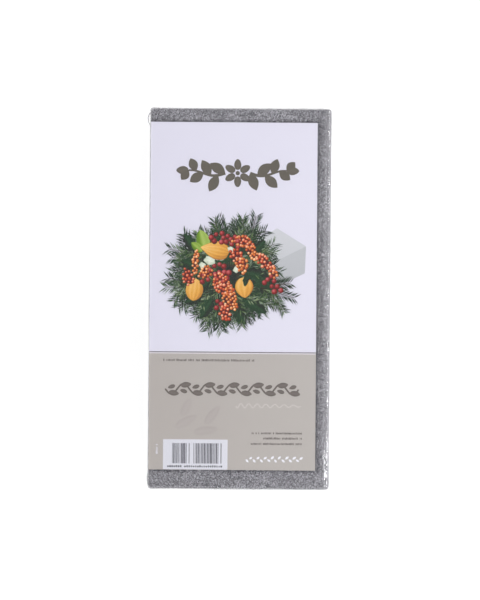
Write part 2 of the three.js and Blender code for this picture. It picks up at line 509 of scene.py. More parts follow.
def film_ripple(spot, half, seam_height):
    """How far the film stands out from its taut shape at a point, all in millimetres."""
    x, y, z = spot
    hx, hy = half.x, half.y
    lift = 0.10 * noise.noise(Vector((x, y, z)) / 21)
    top = z > film_high.z / MM - 1.5
    under = z < film_low.z / MM + 1.5
    from_seam = abs(z - seam_height)
    if not (top or under):  # lines drawn along the sides as the film shrank
        run = y if abs(x) > hx - 1 else x
        lift += 0.13 * (1 - abs(noise.noise(Vector((run / 34, z / 4.5, x / 50 + y / 90)))) * 3)
    if x < -hx + 1 and abs(y) < hy - 1:  # gathers along the welded side
        lift += 0.60 * math.exp(-from_seam / 5.5) * noise.noise(Vector((y / 3.0, z / 13, 3)))
    if abs(y) > hy - 1:  # gathers along the end seams
        lift += 0.66 * math.exp(-from_seam / 6.5) * noise.noise(Vector((x / 3.2, z / 13, y)))
    for side in (-1, 1):  # pleats that fan out from the gathered corners
        for end in (-1, 1):
            run = math.hypot(hx - side * x, hy - end * y)
            rise = z - seam_height
            reach = math.hypot(run, rise)
            if reach < 55 and not top and not under:
                fan = math.atan2(rise, run + 0.5)
                wander = noise.noise(Vector((run / 11, rise / 11, side + 3 * end)))
                crest = (1 - abs(math.sin(6.0 * fan + 2.2 * wander))) ** 1.8
                lift += 0.95 * math.exp(-reach / 17) * min(reach / 5, 1) * (crest - 0.12)
    rim = min(hx - abs(x), hy - abs(y))
    near_top = math.exp(-abs(film_high.z / MM - z) / 3.0)
    lift += 0.16 * math.exp(-max(rim, 0) / 3.5) * near_top * noise.noise(Vector((x / 3.3, y / 3.3, 7)))
    if top:
        slack = step_down((-40 - y), 60) if x > 40 else 0.0
        lift += 0.34 * slack * math.exp(-max(hx - x, 0) / 4.5) * noise.noise(Vector((x / 1.9, y / 3.2, 1)))
        broken = 0.6 + 0.7 * noise.noise(Vector((x / 6, y / 2.4, 4)))
        for start, end, height, width in PLEATS:
            lift += height * broken * ridge(Vector((x, y)), Vector(start), Vector(end), width)
        outside = max(x - card_high.x / MM, y - card_high.y / MM, card_low.y / MM - y)
        lift -= 0.42 * step_down(outside, 3.5)
    return lift


# Standing creases in the film over the folded arris near the foot: start, end, height and width in
# millimetres.
PLEATS = (
    ((52.3, -78.0), (50.2, -108.0), 0.50, 0.75),
    ((50.9, -86.0), (49.0, -101.0), 0.34, 0.60),
    ((52.9, -96.0), (51.6, -112.5), 0.40, 0.60),
    ((53.2, -52.0), (52.6, -70.0), 0.22, 0.60),
    ((52.0, 96.0), (53.0, 112.0), 0.25, 0.70),
    ((-52.8, 100.0), (-50.5, 113.0), 0.28, 0.80),
    ((-53.0, -100.0), (-51.0, -113.5), 0.30, 0.80),
    ((-30.0, -112.6), (-4.0, -113.4), 0.18, 0.60),
    ((12.0, -113.2), (44.0, -112.2), 0.20, 0.60),
    ((-18.0, 113.4), (22.0, 112.8), 0.16, 0.60),
)


def vents(mesh):
    """Cuts the two round vents that let the air out of the film's underside."""
    radius, floor = VENT_RADIUS, film_low.z + 1.0 * MM
    work = bmesh.new()
    work.from_mesh(mesh)
    for y in (-VENT_REACH, VENT_REACH):
        middle = Vector((0, y, 0))

        def away(point):
            return (point.xy - middle.xy).length if point.z < floor else 1.0

        near = [e for e in work.edges if all(away(v.co) < 3.2 * radius for v in e.verts)]
        bmesh.ops.subdivide_edges(work, edges=near, cuts=3, use_grid_fill=True)
        gone = [f for f in work.faces if away(f.calc_center_median()) < radius]
        bmesh.ops.delete(work, geom=gone, context="FACES")
        for vertex in work.verts:
            if vertex.is_boundary and away(vertex.co) < 1.6 * radius:
                out = (vertex.co.xy - middle.xy).normalized() * radius
                vertex.co.x, vertex.co.y = middle.x + out.x, middle.y + out.y
    work.to_mesh(mesh)
    work.free()


def shrink_film():
    """The wrap round the foam and the card: one thin shell, drawn tight, with two vent holes."""
    inset, arris = 0.15 * MM, 2.0 * MM
    low = film_low + Vector((inset, inset, 0.02 * MM))
    high = film_high - Vector((inset, inset, 0.10 * MM))
    span = high - low
    piece = grown("shrink_film", BLOCK, {
        "Width": span.x, "Length": span.y, "Height": span.z, "Middle": (low + high) / 2,
        "Arris": arris, "Crowding": (0.62, 0.50, 0.25),
        "Cells across": 70, "Cells along": 148, "Cells up": 60,
        "Shoulder drop": 1.9 * MM, "Shoulder reach": 3.8 * MM,
        "Relief": 0.0, "Relief scale": 100.0, "Finish": FILM,
    })
    half = span / 2 / MM
    middle = (low + high) / 2
    seam_height = (side_low.z + side_high.z) / 2 / MM
    core = span / 2 - Vector((arris, arris, arris))
    for vertex in piece.data.vertices:
        local = vertex.co - middle
        inside = Vector([min(max(c, -k), k) for c, k in zip(local, core)])
        out = (local - inside).normalized()
        vertex.co += out * film_ripple(vertex.co / MM, half, seam_height) * MM
    vents(piece.data)
    wall = piece.modifiers.new("Film wall", "SOLIDIFY")
    wall.thickness, wall.offset = FILM_SKIN, -1
    belongs(smooth(piece), "film", "film_wrap")


# ---------------------------------------------------------------- card and print


def card_wave(x, y):
    """How far the card's face stands off flat, in millimetres, x and y from its top left corner."""
    rim = min(card_width - x, y, card_length - y)
    curl = math.exp(-max(rim, 0) / 5.0)
    return 0.07 * curl * (0.5 + noise.noise(Vector((x / 30, y / 30, 5)))) - 0.02


def on_card(x, y, layer=0.0):
    """A point given in millimetres from the card's top left corner, and its height over the face."""
    return Vector((card_low.x + x * MM, card_high.y - y * MM,
                   card_high.z + (card_wave(x, y) + layer) * MM))


def label_card():
    """The card, in cells about 2 mm square, with sharp edges all round."""
    across, along = 50, 104
    points = [on_card(card_width * column / across, card_length * row / along)
              for row in range(along + 1) for column in range(across + 1)]
    mesh = bpy.data.meshes.new("label_sheet")
    mesh.from_pydata(points, [], rows_of_faces(along + 1, across + 1))
    mesh.materials.append(CARD)

    def on_rim(edge):
        """Whether an edge runs down one of the card's sides, or along its head or foot."""
        first, second = sorted(edge.vertices)
        down = second - first > 1 and first % (across + 1) in (0, across)
        return down or second - first == 1 and first // (across + 1) in (0, along)

    rim = [on_rim(edge) for edge in mesh.edges]
    mesh.attributes.new("sharp_edge", "BOOLEAN", "EDGE").data.foreach_set("value", rim)
    piece = in_scene("label_sheet", mesh)
    wall = piece.modifiers.new("Card thickness", "SOLIDIFY")
    wall.thickness, wall.offset = (card_high.z - card_low.z) * 0.96, -1
    belongs(smooth(piece), "card", "label_card")


# A layer is a height over the card's face in millimetres, so that what is printed later lies over
# what is printed first, and all of it under the film, which is 0.35 mm up.
MARK_LAYER = 0.09


class Printed:
    """Flat shapes of ink that lie on the card, gathered into one mesh."""

    def __init__(self):
        self.points, self.faces, self.inks = [], [], []

    def patch(self, rows, layer, name):
        """A patch of rows of (x, y, tone), each row as long as the next."""
        self.faces += rows_of_faces(len(rows), len(rows[0]), len(self.points))
        for row in rows:
            for x, y, tone in row:
                self.points.append(on_card(x, y, layer))
                self.inks.append((ink(name), min(max(tone, 0.02), 0.98)))

    def slab(self, outline, layer, name, tones):
        """A polygon with one tone for each corner."""
        first = len(self.points)
        for (x, y), tone in zip(outline, tones):
            self.points.append(on_card(x, y, layer))
            self.inks.append((ink(name), tone))
        self.faces.append(tuple(range(first, len(self.points))))

    def ribbon(self, path, widths, layer, name, tone=0.5):
        """A stroke of changing width along a path."""
        rows = []
        for n, (x, y) in enumerate(path):
            (ax, ay), (bx, by) = path[max(n - 1, 0)], path[min(n + 1, len(path) - 1)]
            run = math.hypot(bx - ax, by - ay) or 1
            nx, ny = -(by - ay) / run * widths[n] / 2, (bx - ax) / run * widths[n] / 2
            rows.append([(x - nx, y - ny, tone), (x + nx, y + ny, tone)])
        self.patch(rows, layer, name)

    def leaf(self, root, heading, length, width, layer, name, tones=(0.5, 0.5, 0.5), teeth=0,
             full=0.62):
        """A leaf from its root: lit and shaded halves, a paler rib, and teeth if it has any.

        The tones are the shaded half's, the lit half's and the one between. Full is how blunt its
        ends are.
        """
        dx, dy = math.cos(heading), -math.sin(heading)
        steps = 26 if teeth else 16
        rows = []
        for n in range(steps + 1):
            s = n / steps
            body = math.sin(math.pi * s ** 0.85) ** full
            if teeth:
                body *= 0.62 + 0.38 * abs(math.cos(math.pi * teeth * s)) ** 1.4
            row = []
            for t in (-1.0, -0.55, -0.07, 0.07, 0.55, 1.0):
                side = t * width / 2 * body
                tone = tones[2] + (0.3 if abs(t) < 0.1 else 0)
                tone += (tones[1] - tones[2]) * max(t, 0) + (tones[0] - tones[2]) * max(-t, 0)
                row.append((root[0] + dx * length * s - dy * side,
                            root[1] + dy * length * s + dx * side, tone))
            rows.append(row)
        self.patch(rows, layer, name)

    def pod(self, middle, heading, length, width, layer, ribs, point):
        """A swollen pod: ribbed, lit from the upper left, pointed at one end if point is above 0."""
        dx, dy = math.cos(heading), -math.sin(heading)
        rows = []
        for n in range(21):
            s = n / 20
            body = math.sin(math.pi * s ** (1 - 0.3 * point)) ** (0.55 + 0.35 * point * (s > 0.5))
            row = []
            for c in range(17):
                t = -1 + c / 8
                side = t * width / 2 * body
                x = middle[0] + dx * length * (s - 0.5) - dy * side
                y = middle[1] + dy * length * (s - 0.5) + dx * side
                round_off = math.sqrt(max(1 - t * t, 0))
                lit = 0.5 - 0.022 * (x - middle[0]) - 0.026 * (y - middle[1])
                tone = lit + 0.32 * (round_off - 0.65) + 0.10 * math.cos(math.pi * ribs * t)
                tone += 0.06 * noise.noise(Vector((x, y, 2)) * 0.9)
                row.append((x, y, tone))
            rows.append(row)
        self.patch(rows, layer, "yellow pod")

    def piece(self, name):
        """Everything printed so far as one mesh. The OFBake map holds each corner's ink and tone."""
        mesh = bpy.data.meshes.new(name)
        mesh.from_pydata(self.points, [], self.faces)
        spread = mesh.uv_layers.new(name="OFBake")
        for loop in mesh.loops:
            spread.data[loop.index].uv = self.inks[loop.vertex_index]
        mesh.materials.append(PRINT)
        return in_scene(name, mesh)


def face_up(mesh):
    """Turns every face of a flat print so that it looks out of the card."""
    mesh.update()
    turned = [face.index for face in mesh.polygons if face.normal.z < 0]
    for index in turned:
        mesh.polygons[index].flip()
    mesh.update()


def shrunk(tree, jitter, seed, shift):
    """1 less a random share of jitter."""
    share = maths(tree, "MULTIPLY", jitter, chance(tree, 0.0, 1.0, seed, shift))
    return maths(tree, "SUBTRACT", 1.0, share)


def inked(tree, geometry, ink_spot, tone):
    """Gives every corner its place on the OFBake map."""
    tone = put(tree, "ShaderNodeClamp", {0: tone, 1: 0.02, 2: 0.98}).outputs[0]
    return stored(tree, geometry, "OFBake", xyz(tree, ink_spot, tone), "FLOAT2", "CORNER")


def spray_tree():
    """Needles or leaves that stand off both sides of every path in the start mesh."""
    tree, size = new_tree("sprays along paths", {
        "Spacing": "Float", "Outline points": "Int", "Leaf length": "Float", "Leaf width": "Float",
        "Tip share": "Float", "Spread": "Float", "Spread jitter": "Float", "Length jitter": "Float",
        "Layer jitter": "Float", "Ink": "Float", "Tone": "Float", "Tip tone": "Float",
        "Tone jitter": "Float", "Seed": "Int",
    })
    disc = put(tree, "GeometryNodeMeshCircle", {
        "Vertices": size["Outline points"], "Radius": 1.0}, fill_type="NGON").outputs[0]
    spot = parts_of(tree, put(tree, "GeometryNodeInputPosition").outputs[0])
    pinch = maths(tree, "MULTIPLY", spot[1], maths(tree, "ABSOLUTE", spot[1]))
    along = maths(tree, "MULTIPLY_ADD", spot[0], 0.5, 0.5)
    shaped = put(tree, "GeometryNodeSetPosition", {
        "Geometry": disc,
        "Position": xyz(tree, maths(tree, "MULTIPLY", along, size["Leaf length"]),
                        maths(tree, "MULTIPLY", pinch, maths(tree, "MULTIPLY", size["Leaf width"], 0.5)))})
    leaf = stored(tree, shaped.outputs[0], "reach", maths(tree, "DIVIDE", spot[0], size["Leaf length"]))
    paths = put(tree, "GeometryNodeMeshToCurve", {"Mesh": size["Geometry"]}).outputs[0]
    paths = stored(tree, paths, "run", put(tree, "GeometryNodeSplineParameter").outputs["Factor"])
    seats = put(tree, "GeometryNodeCurveToPoints", {
        "Curve": paths, "Length": size["Spacing"]}, mode="LENGTH")
    tangent = parts_of(tree, seats.outputs["Tangent"])
    heading = maths(tree, "ARCTAN2", tangent[1], tangent[0])
    order = put(tree, "GeometryNodeInputIndex").outputs[0]
    side = maths(tree, "MULTIPLY_ADD", maths(tree, "MODULO", order, 2.0), 2.0, -1.0)
    seed = size["Seed"]
    wander = maths(tree, "MULTIPLY", size["Spread jitter"], chance(tree, -1.0, 1.0, seed, 1))
    off = maths(tree, "MULTIPLY", side, maths(tree, "ADD", size["Spread"], wander))
    turn = maths(tree, "ADD", heading, off)
    taper = ranged(tree, kept(tree, "run"), 0.35, 1.0, 1.0, size["Tip share"], "LINEAR")
    stretch = maths(tree, "MULTIPLY", taper, shrunk(tree, size["Length jitter"], seed, 2))
    lift = maths(tree, "MULTIPLY", size["Layer jitter"], chance(tree, 0.0, 1.0, seed, 3))
    seats = put(tree, "GeometryNodeSetPosition", {
        "Geometry": seats.outputs[0], "Offset": xyz(tree, 0.0, 0.0, lift)}).outputs[0]
    shade = maths(tree, "MULTIPLY", size["Tone jitter"], chance(tree, -1.0, 1.0, seed, 4))
    scattered = put(tree, "GeometryNodeInstanceOnPoints", {
        "Points": stored(tree, seats, "shade", shade), "Instance": leaf,
        "Rotation": turned_by(tree, xyz(tree, 0.0, 0.0, turn)),
        "Scale": xyz(tree, stretch, maths(tree, "POWER", stretch, 0.4), 1.0)}).outputs[0]
    real = put(tree, "GeometryNodeRealizeInstances", {0: scattered}).outputs[0]
    tone = maths(tree, "ADD", maths(tree, "ADD", size["Tone"], kept(tree, "shade")), kept(tree, "tone"))
    tone = maths(tree, "ADD", tone, maths(tree, "MULTIPLY", kept(tree, "reach"), size["Tip tone"]))
    return end_tree(tree, inked(tree, real, size["Ink"], tone), size["Finish"])


def cluster_tree():
    """Round berries crowded over every face of the start mesh."""
    tree, size = new_tree("clustered berries", {
        "Berry size": "Float", "Crowding": "Float", "Size jitter": "Float", "Layer jitter": "Float",
        "Ink": "Float", "Tone jitter": "Float", "Seed": "Int",
    })
    seed = size["Seed"]
    apart = maths(tree, "MULTIPLY", size["Berry size"], size["Crowding"])
    seats = put(tree, "GeometryNodeDistributePointsOnFaces", {
        "Mesh": size["Geometry"], "Distance Min": apart, "Density Max": 4.0e6, "Seed": seed},
        distribute_method="POISSON").outputs[0]
    lift = maths(tree, "MULTIPLY", size["Layer jitter"], chance(tree, 0.0, 1.0, seed, 1))
    seats = put(tree, "GeometryNodeSetPosition", {
        "Geometry": seats, "Offset": xyz(tree, 0.0, 0.0, lift)}).outputs[0]
    shade = maths(tree, "MULTIPLY", size["Tone jitter"], chance(tree, -1.0, 1.0, seed, 2))
    seats = stored(tree, seats, "shade", shade)
    disc = put(tree, "GeometryNodeMeshCircle", {
        "Vertices": 10, "Radius": 0.5}, fill_type="TRIANGLE_FAN").outputs[0]
    disc = put(tree, "GeometryNodeSubdivideMesh", {"Mesh": disc, "Level": 1}).outputs[0]
    spot = put(tree, "GeometryNodeInputPosition").outputs[0]
    from_shine = put(tree, "ShaderNodeVectorMath", {
        0: spot, 1: (-0.14, 0.16, 0.0)}, operation="DISTANCE").outputs[1]
    disc = stored(tree, disc, "round", ranged(tree, from_shine, 0.0, 0.68, 0.95, 0.05, "LINEAR"))
    swell = maths(tree, "MULTIPLY", size["Berry size"], shrunk(tree, size["Size jitter"], seed, 3))
    crowd = put(tree, "GeometryNodeInstanceOnPoints", {
        "Points": seats, "Instance": disc, "Scale": xyz(tree, swell, swell, 1.0)}).outputs[0]
    real = put(tree, "GeometryNodeRealizeInstances", {0: crowd}).outputs[0]
    tone = maths(tree, "ADD", kept(tree, "round"), kept(tree, "shade"))
    return end_tree(tree, inked(tree, real, size["Ink"], tone), size["Finish"])


def marks_tree():
    """A row of upright marks of uneven width, as in a bar code or a line of very small print."""
    tree, size = new_tree("row of marks", {
        "Corner": "Vector", "Turn": "Float", "Length": "Float", "Height": "Float", "Count": "Int",
        "Least width": "Float", "Most width": "Float", "Missing": "Float", "Height jitter": "Float",
        "Ink": "Float", "Tone": "Float", "Seed": "Int",
    })
    seed = size["Seed"]
    pitch = maths(tree, "DIVIDE", size["Length"], size["Count"])
    line = put(tree, "GeometryNodeMeshLine", {
        "Count": size["Count"], "Start Location": xyz(tree, maths(tree, "MULTIPLY", pitch, 0.5)),
        "Offset": xyz(tree, pitch)}).outputs[0]
    there = put(tree, "FunctionNodeRandomValue", {
        "Probability": maths(tree, "SUBTRACT", 1.0, size["Missing"]), "Seed": seed}, data_type="BOOLEAN")
    width = maths(tree, "MULTIPLY", pitch, chance(tree, size["Least width"], size["Most width"], seed, 1))
    height = maths(tree, "MULTIPLY", size["Height"], shrunk(tree, size["Height jitter"], seed, 2))
    mark = put(tree, "GeometryNodeMeshGrid", {
        "Size X": 1.0, "Size Y": 1.0, "Vertices X": 2, "Vertices Y": 2}).outputs[0]
    mark = put(tree, "GeometryNodeTransform", {"Geometry": mark, "Translation": (0, 0.5, 0)}).outputs[0]
    row = put(tree, "GeometryNodeInstanceOnPoints", {
        "Points": line, "Selection": there.outputs[3], "Instance": mark,
        "Scale": xyz(tree, width, height, 1.0)}).outputs[0]
    real = put(tree, "GeometryNodeRealizeInstances", {0: row}).outputs[0]
    turned = put(tree, "GeometryNodeTransform", {
        "Geometry": real, "Translation": size["Corner"],
        "Rotation": turned_by(tree, xyz(tree, 0.0, 0.0, size["Turn"]))}).outputs[0]
    return end_tree(tree, inked(tree, turned, size["Ink"], size["Tone"]), size["Finish"])


SPRAYS, CLUSTERS, MARKS = spray_tree(), cluster_tree(), marks_tree()


def marks(name, x, y, length, height, count, ink_name, tone, **more):
    """A row of marks whose lower left corner lies at x, y."""
    return grown(name, MARKS, {
        "Corner": on_card(x, y, MARK_LAYER), "Length": length * MM, "Height": height * MM,
        "Count": count, "Ink": ink(ink_name), "Tone": tone, "Finish": PRINT,
        "Turn": 0.0, "Least width": 0.45, "Most width": 0.85, "Missing": 0.10, "Height jitter": 0.3,
        "Seed": 1, **more})


def paths_mesh(name, paths, tones):
    """Open paths of (x, y, layer) on the card as a mesh of edges, with a tone for each path."""
    points, edges, shade = [], [], []
    for path, tone in zip(paths, tones):
        first = len(points)
        points += [on_card(*spot) for spot in path]
        edges += [(first + n, first + n + 1) for n in range(len(path) - 1)]
        shade += [tone] * len(path)
    mesh = bpy.data.meshes.new(name)
    mesh.from_pydata(points, edges, [])
    mesh.attributes.new("tone", "FLOAT", "POINT").data.foreach_set("value", shade)
    return mesh


def bent_path(start, end, bend, layer):
    """A path from start to end that bows to one side by bend."""
    (ax, ay), (bx, by), steps = start, end, 7
    run = math.hypot(bx - ax, by - ay) or 1
    nx, ny = -(by - ay) / run, (bx - ax) / run
    path = []
    for n in range(steps + 1):
        s = n / steps
        bow = bend * 4 * s * (1 - s)
        path.append((ax + (bx - ax) * s + nx * bow, ay + (by - ay) * s + ny * bow, layer))
    return path


# ---------------------------------------------------------------- what the card shows

HEART = (46.5, 92.5)  # middle of the pictured arrangement


def outline_reach(turn):
    """How far the pictured greenery reaches from its middle, in millimetres, by direction.

    Each longer spray has a heading, what it adds to the reach and how wide a turn it covers.
    """
    sprays = ((1.02, 10, 0.34), (2.55, 8, 0.42), (3.50, 11, 0.42), (4.35, 5, 0.30), (5.95, 13, 0.27),
              (1.80, 4, 0.45), (5.20, 4, 0.30))
    reach = 34.0
    for heading, more, wide in sprays:
        off = (turn - heading + math.pi) % math.tau - math.pi
        reach += more * math.exp(-(off / wide) ** 2)
    return reach


def spoke(turn, reach):
    """The point at a turn and a reach from the arrangement's middle."""
    return HEART[0] + math.cos(turn) * reach, HEART[1] - math.sin(turn) * reach


def pictured_greenery():
    """Fir sprays all round, their twigs, and a dark bed under them."""
    dice = random.Random(23)
    paths, tones = [], []
    for n in range(34):
        turn = math.tau * (n + dice.uniform(-0.35, 0.35)) / 34
        reach = (outline_reach(turn) - 4.0) * dice.uniform(0.84, 1.02)
        layer = 0.05 + 0.06 * dice.random()
        bend = dice.uniform(-3, 3)
        tip = spoke(turn + dice.uniform(-0.1, 0.1), reach)
        paths.append(bent_path(spoke(turn, 6), tip, bend, layer))
        tones.append(dice.uniform(-0.12, 0.16))
        for side in (-1, 1):
            start = spoke(turn, reach * dice.uniform(0.45, 0.6))
            end = spoke(turn + side * dice.uniform(0.14, 0.24), reach * dice.uniform(0.8, 0.95))
            paths.append(bent_path(start, end, side * dice.uniform(0, 1.5), layer + 0.01))
            tones.append(dice.uniform(-0.15, 0.2))
    needles = grown("pictured_needles", SPRAYS, {
        "Spacing": 0.46 * MM, "Outline points": 4, "Leaf length": 7.6 * MM, "Leaf width": 0.66 * MM,
        "Tip share": 0.80, "Spread": 0.72, "Spread jitter": 0.16, "Length jitter": 0.26,
        "Layer jitter": 0.06 * MM, "Ink": ink("fir green"), "Tone": 0.22, "Tip tone": 0.24,
        "Tone jitter": 0.34, "Seed": 5, "Finish": PRINT,
    }, paths_mesh("fir twigs", paths, tones))
    mossy = grown("pictured_moss", SPRAYS, {
        "Spacing": 0.9 * MM, "Outline points": 4, "Leaf length": 5.6 * MM, "Leaf width": 0.7 * MM,
        "Tip share": 0.7, "Spread": 0.6, "Spread jitter": 0.5, "Length jitter": 0.4,
        "Layer jitter": 0.04 * MM, "Ink": ink("moss green"), "Tone": 0.36, "Tip tone": 0.2,
        "Tone jitter": 0.25, "Seed": 9, "Finish": PRINT,
    }, paths_mesh("moss twigs", [[(x, y, z + 0.04) for x, y, z in p] for p in paths[1::4]], tones[1::4]))
    bed = Printed()
    for path in paths:
        bed.ribbon([(x, y) for x, y, _ in path], [0.8 - 0.07 * n for n in range(len(path))], path[0][2],
                   "bark brown", 0.3)
    ring = [spoke(math.tau * n / 90, outline_reach(math.tau * n / 90) * (0.60 + 0.08 * math.sin(n * 2.1)))
            for n in range(90)]
    middle = [(*HEART, 0.06)] * 91
    bed.patch([middle, [(x, y, 0.12) for x, y in ring + ring[:1]]], 0.035, "holly green")
    return [needles, mossy, bed.piece("pictured_bed")]


def outline_face(points, faces, middle, heading, length, width, layer, wave):
    """Adds an uneven oval to points and faces, for a cluster to fill."""
    dx, dy = math.cos(heading), -math.sin(heading)
    first = len(points)
    for n in range(18):
        a = math.tau * n / 18
        size = 1 + 0.16 * math.sin(3 * a + wave)
        u, v = math.cos(a) * length / 2 * size, math.sin(a) * width / 2 * size
        points.append(on_card(middle[0] + dx * u - dy * v, middle[1] + dy * u + dx * v, layer))
    faces.append(tuple(range(first, first + 18)))


def berries(name, clusters, layer, **sizes):
    """Clusters of berries, each on an oval with a middle, a heading, a length and a width."""
    points, faces = [], []
    for n, (middle, heading, length, width) in enumerate(clusters):
        outline_face(points, faces, middle, heading, length, width, layer, n)
    mesh = bpy.data.meshes.new(name + " beds")
    mesh.from_pydata(points, [], faces)
    return grown(name, CLUSTERS, {"Layer jitter": 0.045 * MM, "Finish": PRINT, **sizes}, mesh)


def pictured_fruit():
    """Leaves, pods, buds and berries over the greenery."""
    art = Printed()
    hollies = (  # root, heading, length, width
        ((50, 108), -1.05, 16, 8.5), ((56, 106), -0.55, 17, 8.5), ((62, 98), 0.35, 13, 8),
        ((58, 90), -0.25, 15, 9), ((60, 80), 0.75, 13, 7.5), ((30, 88), 2.75, 12, 8),
        ((28, 78), 2.2, 13, 8), ((38, 106), -2.1, 14, 8), ((46, 110), -1.5, 13, 7.5),
        ((44, 92), -0.9, 12, 8), ((36, 96), -2.6, 12, 8), ((50, 84), 1.3, 11, 7),
        ((66, 92), -0.75, 13, 7.5), ((32, 104), -2.7, 12, 7), ((40, 84), 0.4, 11, 7),
    )
    for n, (root, heading, length, width) in enumerate(hollies):
        art.leaf(root, heading, length, width, 0.165 + 0.003 * n, "holly green",
                 (0.05 + 0.04 * (n % 3), 0.42 + 0.05 * (n % 4), 0.22), teeth=4)
    art.leaf((33.5, 77), 1.85, 12.5, 8.0, 0.222, "lime green", (0.3, 0.85, 0.55))
    art.leaf((31.5, 78), 2.45, 8.5, 5.0, 0.225, "lime green", (0.25, 0.7, 0.45))
    art.leaf((63, 84), 0.1, 9.5, 5.0, 0.226, "moss green", (0.2, 0.6, 0.4))
    art.pod((39.0, 77.0), 2.95, 17.5, 11.0, 0.235, 5, point=1.0)
    art.pod((27.0, 101.0), 1.42, 13.5, 10.5, 0.238, 4, point=0.1)
    art.pod((57.0, 99.5), -1.5, 12.5, 11.0, 0.240, 3, point=0.35)
    art.leaf((58.6, 91.6), -1.75, 7.4, 3.4, 0.243, "holly green", (0.1, 0.4, 0.2))
    art.leaf((61.0, 92.6), -2.6, 6.0, 3.0, 0.2435, "holly green", (0.05, 0.35, 0.2))
    buds = (  # middle, length, width, heading
        ((36.0, 83.5), 7.0, 5.0, 0.3), ((42.5, 81.0), 7.0, 4.6, -0.2), ((31.8, 86.5), 4.6, 3.6, 0.8),
        ((52.5, 88.5), 4.8, 3.8, -0.6), ((48.8, 76.5), 4.4, 3.0, 0.3),
    )
    for n, (middle, length, width, heading) in enumerate(buds):
        rows = []
        for r in range(5):
            rows.append([])
            for c in range(17):
                a = math.tau * c / 16
                wavy = 1 + 0.12 * math.sin(5 * a + n)
                u = math.cos(a) * length / 2 * wavy * r / 4
                v = math.sin(a) * width / 2 * wavy * r / 4
                x = middle[0] + u * math.cos(heading) - v * math.sin(heading)
                y = middle[1] + u * math.sin(heading) + v * math.cos(heading)
                rows[-1].append((x, y, 0.85 - 0.10 * r - 0.05 * v + 0.14 * math.sin(4 * a + r)))
        art.patch(rows, 0.232 + 0.001 * n, "cream bud")
    orange = (  # middle, heading, length, width
        ((56.0, 72.0), -0.25, 13, 6.0), ((61.5, 78.0), -1.0, 10, 5.5), ((52.0, 80.5), -1.2, 9, 6.5),
        ((55.5, 86.0), -1.35, 9, 6.5), ((69.5, 84.5), -0.75, 14, 5.5), ((74.5, 90.5), -1.2, 6, 4.5),
        ((44.0, 98.0), -0.9, 15, 9.0), ((48.5, 106.0), -1.3, 14, 8.0), ((45.5, 115.0), -1.4, 9, 6.0),
        ((27.5, 84.5), -1.65, 14, 3.0), ((23.0, 93.5), -1.3, 10, 6.0), ((33.5, 90.5), 0.6, 9, 6.0),
    )
    red = (
        ((43.0, 70.0), -0.1, 12, 5.5), ((50.5, 72.0), -0.9, 8, 5.0), ((40.5, 88.5), 0.5, 9, 5.0),
        ((43.5, 93.0), 0.3, 9, 6.0), ((72.5, 96.0), 0.2, 6, 6.0), ((77.0, 101.0), 0.5, 4, 4.0),
        ((41.5, 110.0), 0.4, 4, 4.0), ((33.0, 94.5), 0.0, 4, 4.0),
    )
    for n, (middle, heading, length, width) in enumerate(orange):
        points, faces = [], []
        outline_face(points, faces, middle, heading, length * 0.92, width * 0.9, 0.0, n)
        spots = [((p.x - card_low.x) / MM, (card_high.y - p.y) / MM) for p in points]
        art.slab(spots, 0.244 + 0.001 * n, "red berry", [0.12] * len(spots))
    return [
        art.piece("pictured_leaves"),
        berries("pictured_red", red, 0.247, **{
            "Berry size": 3.7 * MM, "Crowding": 0.72, "Size jitter": 0.25, "Ink": ink("red berry"),
            "Tone jitter": 0.10, "Seed": 4}),
        berries("pictured_orange", orange[::2], 0.262, **{
            "Berry size": 2.2 * MM, "Crowding": 0.74, "Size jitter": 0.3, "Ink": ink("orange berry"),
            "Tone jitter": 0.24, "Seed": 7, "Layer jitter": 0.06 * MM}),
        berries("pictured_amber", orange[1::2], 0.264, **{
            "Berry size": 2.0 * MM, "Crowding": 0.76, "Size jitter": 0.3, "Ink": ink("amber berry"),
            "Tone jitter": 0.30, "Seed": 13, "Layer jitter": 0.055 * MM}),
        berries("pictured_tips", orange[::3], 0.325, **{
            "Berry size": 1.9 * MM, "Crowding": 1.5, "Size jitter": 0.2, "Ink": ink("amber berry"),
            "Tone jitter": 0.15, "Seed": 17, "Layer jitter": 0.01 * MM}),
    ]


def pictured_block():
    """The pale block of foam behind the arrangement."""
    art = Printed()
    left, back, right, front = (57, 76), (76.5, 63.6), (94.0, 74.4), (72.0, 85.4)
    left_foot, right_foot, front_foot = (58, 91), (93.4, 90.6), (73.0, 100.5)
    for outline, layer, tones in (
        ((left, back, right, front), 0.02, (0.9, 0.85, 0.75, 0.7)),
        ((front, right, right_foot, front_foot), 0.022, (0.5, 0.42, 0.3, 0.35)),
        ((left, front, front_foot, left_foot), 0.021, (0.3, 0.3, 0.2, 0.2)),
    ):
        art.slab(outline, layer, "pale block", tones)
    return art.piece("pictured_block")


